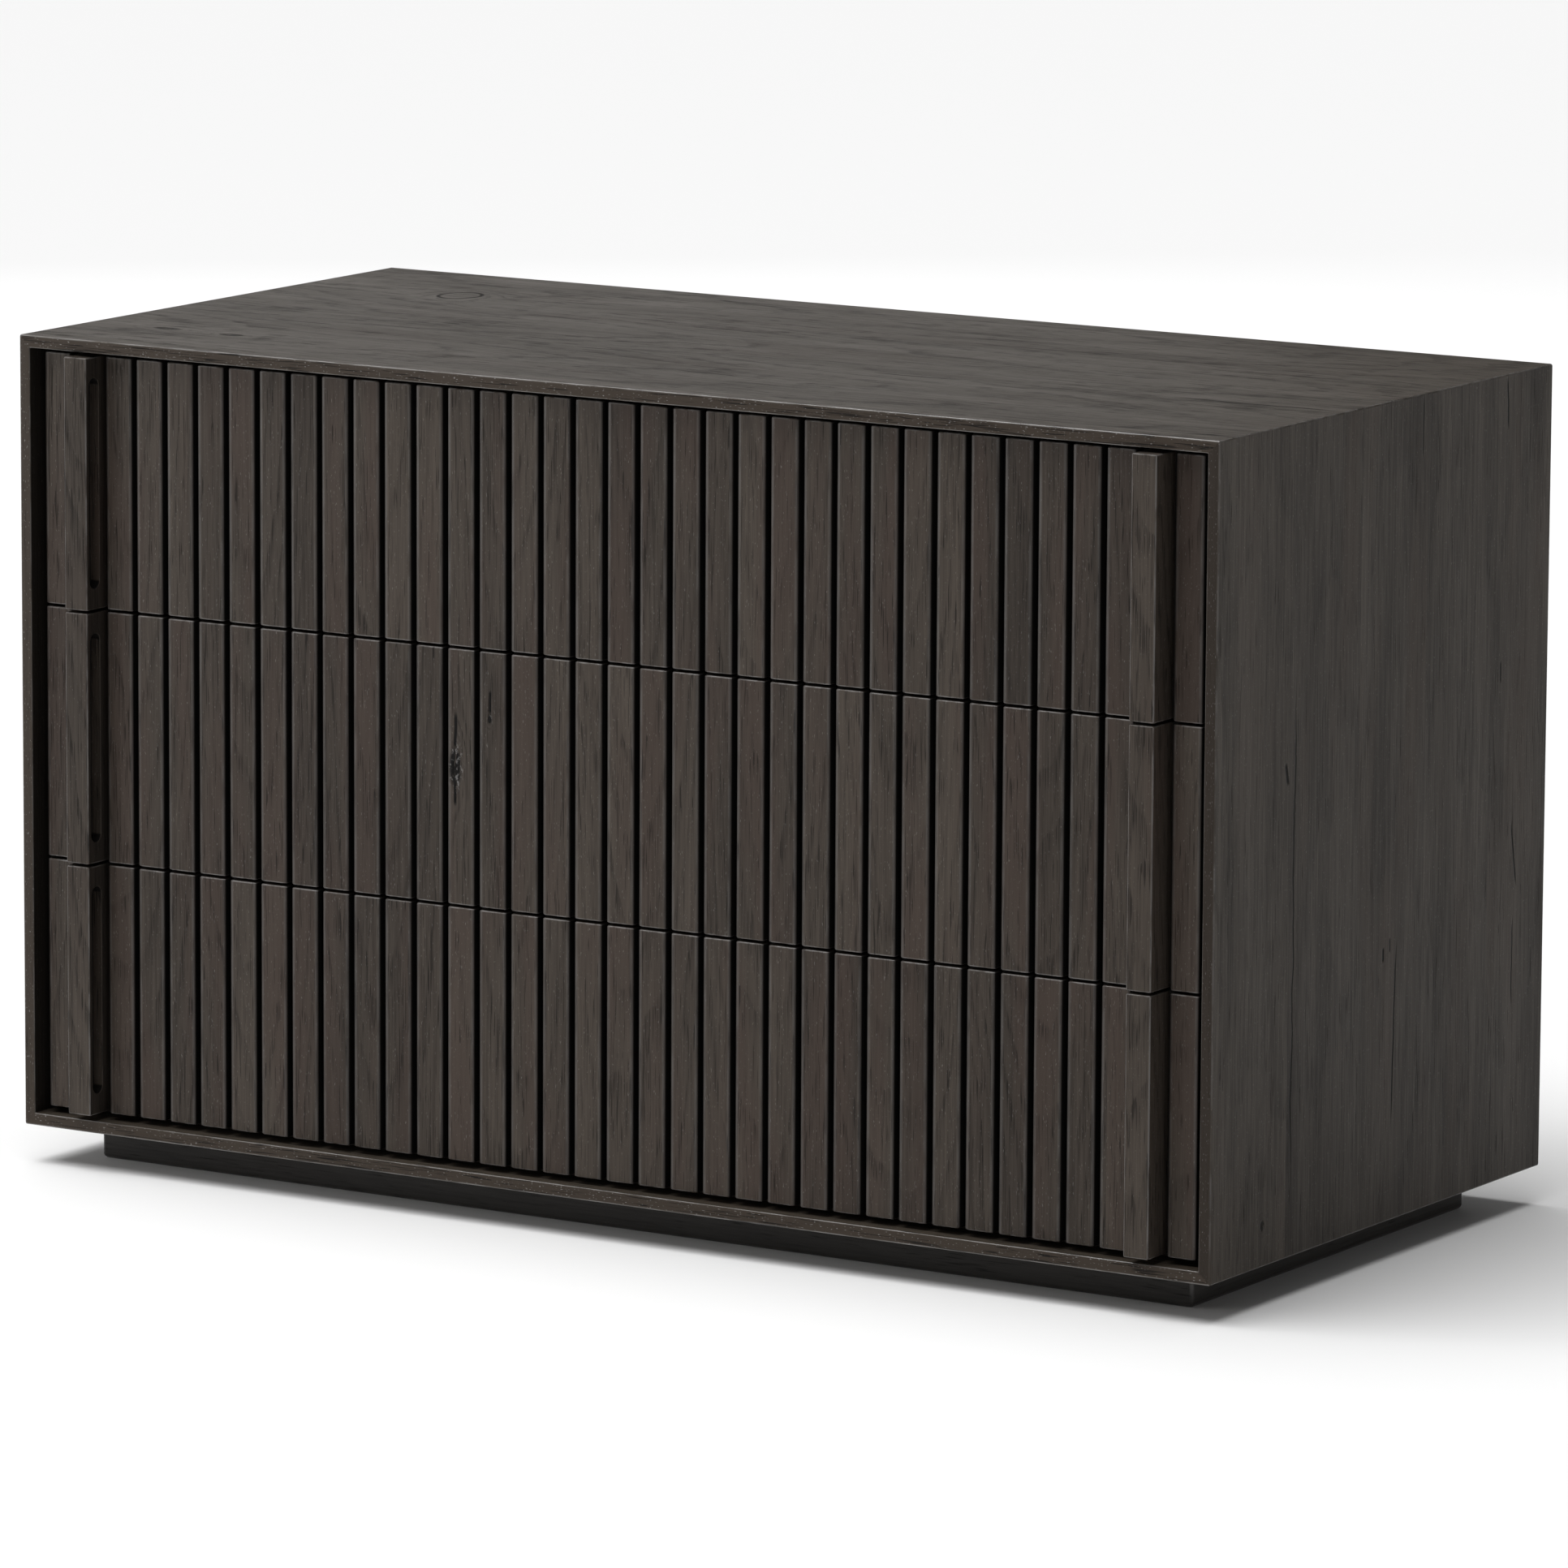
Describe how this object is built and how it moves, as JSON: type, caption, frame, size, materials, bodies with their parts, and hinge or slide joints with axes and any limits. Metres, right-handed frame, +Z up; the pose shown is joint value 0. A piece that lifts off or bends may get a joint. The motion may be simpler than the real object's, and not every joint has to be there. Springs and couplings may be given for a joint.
{
  "type": "nightstand with drawers",
  "caption": "Wide, low bedside chest on a recessed plinth, with full-width drawers faced in upright slats and full-height bar handles at their ends.",
  "frame": {"origin": "on the floor, under the middle of the whole outline, handles included", "axes": "+X to the right for someone who faces the drawers, +Y from the fronts to the back, +Z up"},
  "size_m": [0.914, 0.447, 0.56],
  "materials": {
    "case_oak": "charcoal-stained oak, matt lacquer, grain left open",
    "slat_oak": "charcoal-stained oak slats, matt lacquer, eased edges",
    "handle_oak": "charcoal-stained oak bar, matt lacquer, routed finger groove",
    "black_stained_board": "board stained black, matt",
    "plinth_oak": "oak stained near black, matt",
    "back_panel_veneer": "thin veneered panel, charcoal stain, matt",
    "drawer_box_birch": "pale birch boards, clear satin lacquer",
    "slide_steel": "zinc-plated rolled steel",
    "screw_steel": "zinc-plated steel screws"
  },
  "bodies": {
    "case": {"case_top": "case_oak", "case_bottom": "case_oak", "case_left_side": "case_oak", "case_right_side": "case_oak", "case_back_panel": "back_panel_veneer", "lower_divider_rail": "case_oak", "upper_divider_rail": "case_oak", "plinth_front": "plinth_oak", "plinth_back": "plinth_oak", "plinth_left": "plinth_oak", "plinth_right": "plinth_oak", "plinth_corner_blocks": "plinth_oak", "plinth_screws": "screw_steel", "back_panel_screws": "screw_steel", "slide_screws": "screw_steel", "bottom_slide_case_members": "slide_steel", "middle_slide_case_members": "slide_steel", "top_slide_case_members": "slide_steel"},
    "top_drawer": {"top_drawer_backing_panel": "black_stained_board", "top_drawer_slats": "slat_oak", "top_drawer_left_handle": "handle_oak", "top_drawer_right_handle": "handle_oak", "top_drawer_box_front": "drawer_box_birch", "top_drawer_box_back": "drawer_box_birch", "top_drawer_box_left_side": "drawer_box_birch", "top_drawer_box_right_side": "drawer_box_birch", "top_drawer_box_bottom": "drawer_box_birch", "top_drawer_screws": "screw_steel", "top_slide_drawer_members": "slide_steel"},
    "top_runners": {"top_slide_runners": "slide_steel"},
    "middle_drawer": {"middle_drawer_backing_panel": "black_stained_board", "middle_drawer_slats": "slat_oak", "middle_drawer_left_handle": "handle_oak", "middle_drawer_right_handle": "handle_oak", "middle_drawer_box_front": "drawer_box_birch", "middle_drawer_box_back": "drawer_box_birch", "middle_drawer_box_left_side": "drawer_box_birch", "middle_drawer_box_right_side": "drawer_box_birch", "middle_drawer_box_bottom": "drawer_box_birch", "middle_drawer_screws": "screw_steel", "middle_slide_drawer_members": "slide_steel"},
    "middle_runners": {"middle_slide_runners": "slide_steel"},
    "bottom_drawer": {"bottom_drawer_backing_panel": "black_stained_board", "bottom_drawer_slats": "slat_oak", "bottom_drawer_left_handle": "handle_oak", "bottom_drawer_right_handle": "handle_oak", "bottom_drawer_box_front": "drawer_box_birch", "bottom_drawer_box_back": "drawer_box_birch", "bottom_drawer_box_left_side": "drawer_box_birch", "bottom_drawer_box_right_side": "drawer_box_birch", "bottom_drawer_box_bottom": "drawer_box_birch", "bottom_drawer_screws": "screw_steel", "bottom_slide_drawer_members": "slide_steel"},
    "bottom_runners": {"bottom_slide_runners": "slide_steel"}
  },
  "joints": [
    {"name": "top_drawer_slide", "type": "slide", "parent": "case", "child": "top_drawer", "axis": [0, -1, 0], "range_m": [0, 0.35]},
    {"name": "top_runner_slide", "type": "slide", "parent": "case", "child": "top_runners", "axis": [0, -1, 0], "range_m": [0, 0.175]},
    {"name": "middle_drawer_slide", "type": "slide", "parent": "case", "child": "middle_drawer", "axis": [0, -1, 0], "range_m": [0, 0.35]},
    {"name": "middle_runner_slide", "type": "slide", "parent": "case", "child": "middle_runners", "axis": [0, -1, 0], "range_m": [0, 0.175]},
    {"name": "bottom_drawer_slide", "type": "slide", "parent": "case", "child": "bottom_drawer", "axis": [0, -1, 0], "range_m": [0, 0.35]},
    {"name": "bottom_runner_slide", "type": "slide", "parent": "case", "child": "bottom_runners", "axis": [0, -1, 0], "range_m": [0, 0.175]}
  ],
  "couplings": [
    {"joint": "top_runner_slide", "follows": "top_drawer_slide", "ratio": 0.5},
    {"joint": "middle_runner_slide", "follows": "middle_drawer_slide", "ratio": 0.5},
    {"joint": "bottom_runner_slide", "follows": "bottom_drawer_slide", "ratio": 0.5}
  ]
}
